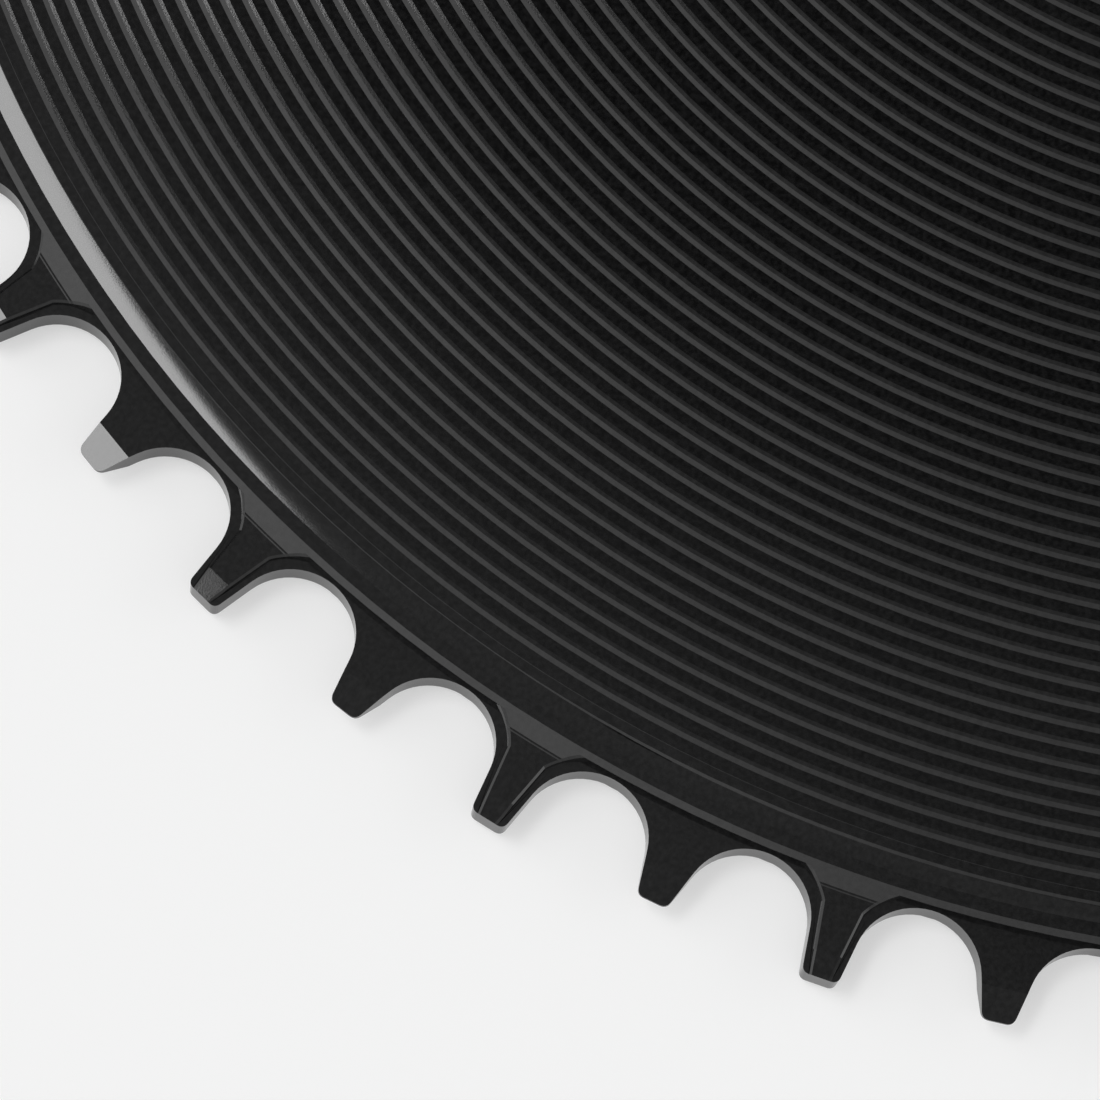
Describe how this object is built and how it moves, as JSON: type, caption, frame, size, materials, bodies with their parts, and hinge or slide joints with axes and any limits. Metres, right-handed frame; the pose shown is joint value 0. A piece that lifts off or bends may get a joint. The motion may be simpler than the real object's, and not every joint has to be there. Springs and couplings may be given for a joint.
{
  "type": "bicycle chainring",
  "caption": "One-piece bicycle chainring with narrow and wide teeth in turn, a solid face turned with concentric grooves, and a bored hub pad with bolt holes.",
  "frame": {"origin": "on the ring's axis at the back of the rim, where it rests when laid flat", "axes": "+Z along the ring's axis, towards the outer, grooved face; +X through the middle of a wide tooth"},
  "size_m": [0.2316, 0.2316, 0.009],
  "materials": {
    "anodised": "matte"
  },
  "bodies": {
    "root": {"chainring": "anodised"}
  },
  "joints": []
}
